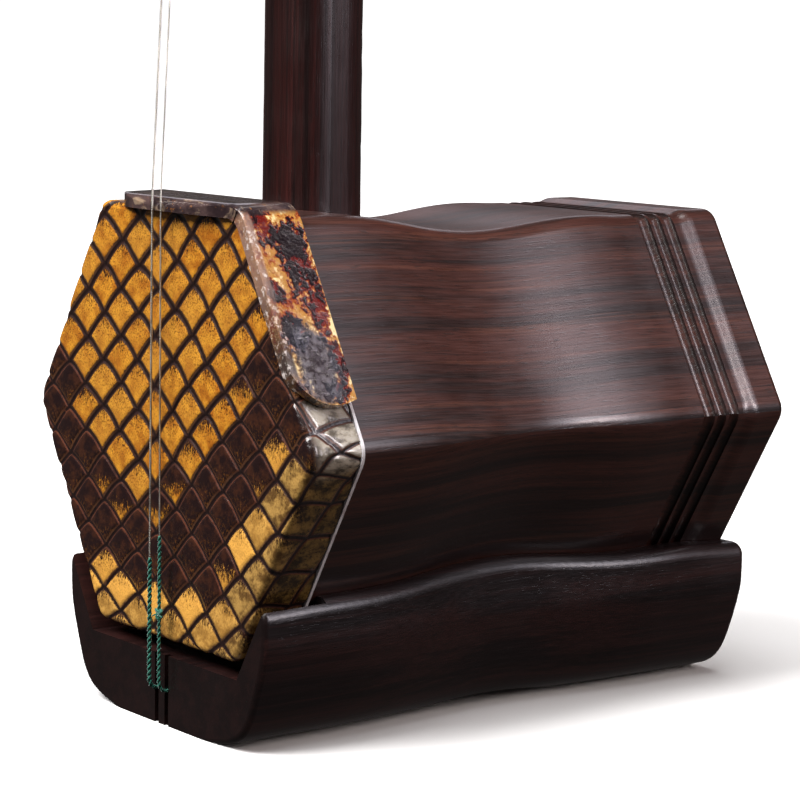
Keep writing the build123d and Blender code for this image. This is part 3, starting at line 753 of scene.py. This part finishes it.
silk = Look("silk", Sheen_Weight=0.6, Sheen_Roughness=0.4, Specular_IOR_Level=0.3)
hairs = silk.noise((0.09, 0.09, 0.5), detail=3, rough=0.7)
silk.colour(silk.mix(silk.ease(hairs, 0.35, 0.65), (0.004, 0.060, 0.042), (0.020, 0.210, 0.145)))
silk.rough(silk.ease(hairs, 0.3, 0.7, 0.45, 0.7))
silk.bump((hairs, 0.04))
cotton = Look("cotton", Sheen_Weight=0.4, Specular_IOR_Level=0.25)
fuzz = cotton.noise((0.12, 0.12, 0.12), detail=3, rough=0.7)
cotton.colour(cotton.mix(cotton.ease(fuzz, 0.35, 0.7), (0.34, 0.28, 0.20), (0.72, 0.66, 0.55)))
cotton.rough(cotton.ease(fuzz, 0.3, 0.7, 0.6, 0.85))
cotton.bump((fuzz, 0.05))
wire = Look("wound_wire", Metallic=1.0)
turns = wire.node(
    "TexWave", {"Vector": wire.sized((1, 1, 1)), "Scale": 0.9, "Distortion": 0.3},
    bands_direction="Z",
).outputs[0]
tarnish = wire.noise((1.5, 1.5, 9), detail=3)
wire.colour(wire.mix(wire.ease(tarnish, 0.35, 0.7), (0.78, 0.75, 0.68), (0.46, 0.43, 0.39)))
wire.rough(wire.ease(turns, 0.2, 0.8, 0.30, 0.48))
wire.bump((turns, 0.04))
wear("inner_string", wire)
wear("outer_string", wire)

# ---- silk tails: from the strings' lower ends down the front and round the pin --------
pin_low, pin_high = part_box("anchor_pin")
PIN_Z, PIN_Y = (pin_low + pin_high).zy / 2 / MM
PIN_R = (pin_high - pin_low).z / 2 / MM
TAIL_PITCH = 2.4
KNOT_Z, KNOT_R = 24.2, 0.42     # height and half size of the knot in the outer tail
for which, strand, apart in (("inner", 0.27, 0.235), ("outer", 0.225, 0.195)):
    low, high = box_mm(f"{which}_string_tail")
    string_end = box_mm(f"{which}_string")[0].z
    thick = strand + apart
    x = (low.x + high.x) / 2
    front = low.y + (1.25 if which == "outer" else thick)
    wrap = PIN_R + thick + 0.05
    line = smooth_line([
        (x, front, string_end - 0.03), (x, front, 22), (x, front, 13), (x, front, PIN_Z + wrap),
        (x, front + 4, PIN_Z + wrap), (x, PIN_Y + wrap, PIN_Z + wrap),
        (x, PIN_Y + wrap, PIN_Z - wrap), (x, PIN_Y - 0.5, PIN_Z - wrap),
    ])
    tubes = twisted(line, apart, TAIL_PITCH, strand)
    if which == "outer":
        # a trefoil knot with three loose ends, where the silk was tied back
        loop = np.linspace(0, TURN, 90)
        tubes.append(tube(np.column_stack([
            x + KNOT_R * (np.sin(loop) + 1.7 * np.sin(2 * loop)),
            front - 0.25 * np.sin(3 * loop) - 0.1,
            KNOT_Z + KNOT_R * (np.cos(loop) - 1.7 * np.cos(2 * loop)),
        ]), 0.30))
        for aside, drop in ((-1, -0.9), (1, -0.5), (1, 0.8)):
            tubes.append(tube(smooth_line([
                (x, front - 0.3, KNOT_Z), (x + aside * 0.9, front - 0.6, KNOT_Z + drop * 0.3),
                (x + aside * 1.9, front - 0.5, KNOT_Z + drop),
            ]), 0.13, 6))
    piece_of(f"{which}_tail_strands", tubes, silk, "instrument", f"{which}_string_tail")

# ---- strings wound on the pegs, in one or two layers ----------------------------------
for peg, gauge, layers in (("upper_peg", 0.23, 2), ("lower_peg", 0.17, 1)):
    low, high = box_mm(f"{peg}_winding")
    peg_z, outer = (low.z + high.z) / 2, (high.x - low.x) / 2
    tubes = []
    for layer in range(layers):
        radius = outer - gauge * (1 + 1.75 * (layers - 1 - layer))
        first, last = low.y + gauge * (1 + layer), high.y - gauge * (1 + layer)
        angle = np.linspace(0, TURN * (last - first) / (2 * gauge), 430)
        tubes.append(tube(np.column_stack([
            radius * np.cos(angle), first + (last - first) * angle / angle[-1],
            peg_z + radius * np.sin(angle),
        ]), gauge))
    piece_of(f"{peg}_wire_turns", tubes, wire, f"{peg}_set", f"{peg}_winding")

# ---- thread wound round the neck and the strings, closed by four cross turns ----------
THREAD, TIE = 0.29, 0.24        # radii of the thread and of the cross turns
TIE_AT, TIE_STEP = (7.2, -13.0), (-0.45, -1.116)
low, high = box_mm("qianjin")
middle, half_high = (low.z + high.z) / 2, (high.z - low.z) / 2
neck_r, string_r, string_y = high.x - 0.5, 3.55, low.y + 4.0
loop = np.linspace(0, TURN, 721)[:-1]
facing = np.column_stack([np.sin(loop), np.cos(loop)])
on_strings = facing[:, 1] * string_y + string_r > neck_r
hull = facing * np.where(on_strings, string_r, neck_r)[:, None]
hull[:, 1] += np.where(on_strings, string_y, 0.0)
hull = np.vstack([hull, hull[:1]])
gone = travelled(hull)
wraps = int((high.z - low.z - 2 * THREAD) / (2 * THREAD))
at = np.linspace(0, wraps * gone[-1], wraps * 150)
within = np.mod(at, gone[-1])
tubes = [tube(np.column_stack([
    np.interp(within, gone, hull[:, 0]), np.interp(within, gone, hull[:, 1]),
    low.z + THREAD + (high.z - low.z - 2 * THREAD) * at / at[-1],
]), THREAD)]
tie = np.linspace(0, TURN, 40)
for k in range(4):
    tie_x, tie_y = (start + step * k for start, step in zip(TIE_AT, TIE_STEP))
    tubes.append(tube(np.column_stack([
        tie_x + 0.55 * np.cos(tie), tie_y + 0.1 * np.cos(tie),
        middle + (half_high - 0.25) * np.sin(tie),
    ]), TIE, 6))
piece_of("thread_loop_turns", tubes, cotton, "thread_loop", "qianjin")

# ---- stage: a pale floor that curves up into a wall, all in metres --------------------
FLOOR_R, BEND_R, WALL_TOP, SPOKES = 4.5, 1.5, 6.0, 96
profile = [(FLOOR_R, 0.0)]
for degrees in range(10, 91, 10):
    bend = math.radians(degrees)
    profile.append((FLOOR_R + BEND_R * math.sin(bend), BEND_R - BEND_R * math.cos(bend)))
profile.append((FLOOR_R + BEND_R, WALL_TOP))
verts = [(0.0, 0.0, 0.0)]
for r, height in profile:
    for i in range(SPOKES):
        angle = TURN * i / SPOKES
        verts.append((r * math.cos(angle), r * math.sin(angle), height))
faces = [(0, 1 + i, 1 + (i + 1) % SPOKES) for i in range(SPOKES)]
for ring in range(len(profile) - 1):
    for i in range(SPOKES):
        a, b = 1 + ring * SPOKES + i, 1 + ring * SPOKES + (i + 1) % SPOKES
        faces.append((a, a + SPOKES, b + SPOKES, b))
floor_mesh = bpy.data.meshes.new("floor")
floor_mesh.from_pydata(verts, [], faces)
floor_mesh.shade_smooth()
floor = bpy.data.objects.new("floor", floor_mesh)
paper = Look("paper", Roughness=0.9, Specular_IOR_Level=0.1)
paper.colour(paper.mix(paper.noise((900, 900, 900)), (0.88, 0.88, 0.88), (0.90, 0.90, 0.90)))
# it glows more and more away from the object, so that the backdrop is white in the picture
distance = paper.node(
    "VectorMath", {0: paper.node("TexCoord").outputs["Object"]}, operation="LENGTH"
).outputs["Value"]
paper.feed(paper.shader.inputs["Emission Color"], (1.0, 1.0, 1.0, 1.0))
paper.feed(paper.shader.inputs["Emission Strength"], paper.ease(distance, 0.22, 1.5, 0.0, 0.97))
floor_mesh.materials.append(paper.material)
bpy.context.scene.collection.objects.link(floor)
floor.visible_glossy = False
floor.visible_diffuse = False

AIM = Vector((0.0, 0.03, 0.08))             # the point that the lights face


def softbox(name, azimuth, elevation, away, width, height, power, colour, gloss=False):
    """An area light at a distance from AIM; a gloss light gives reflections only."""
    light = bpy.data.lights.new(name, "AREA")
    light.shape = "RECTANGLE"
    light.size, light.size_y = width, height
    light.energy = power
    light.color = colour
    box = bpy.data.objects.new(name, light)
    outwards = direction(azimuth, elevation)
    box.location = AIM + outwards * away
    box.rotation_euler = outwards.to_track_quat("Z", "Y").to_euler()
    box.visible_camera = False
    box.visible_diffuse = not gloss
    bpy.context.scene.collection.objects.link(box)


softbox("key", -8, 50, 1.5, 0.8, 0.8, 41, (1.0, 0.98, 0.97))
softbox("right", 114, 27, 1.6, 0.22, 0.8, 10.5, (1.0, 0.86, 0.82))
softbox("right_gloss", 114, 27, 1.6, 0.22, 0.8, 20, (0.86, 0.84, 1.0), gloss=True)
softbox("rim", -128, 22, 1.6, 0.9, 0.35, 0.8, (0.93, 0.90, 1.0))
softbox("overhead", 30, 80, 1.9, 1.3, 1.3, 42, (1.0, 1.0, 1.0))
world = bpy.data.worlds.new("studio")
world.use_nodes = True
sky = world.node_tree.nodes["Background"].inputs
sky["Color"].default_value = (1.0, 0.90, 0.88, 1)
sky["Strength"].default_value = 0.05
bpy.context.scene.world = world
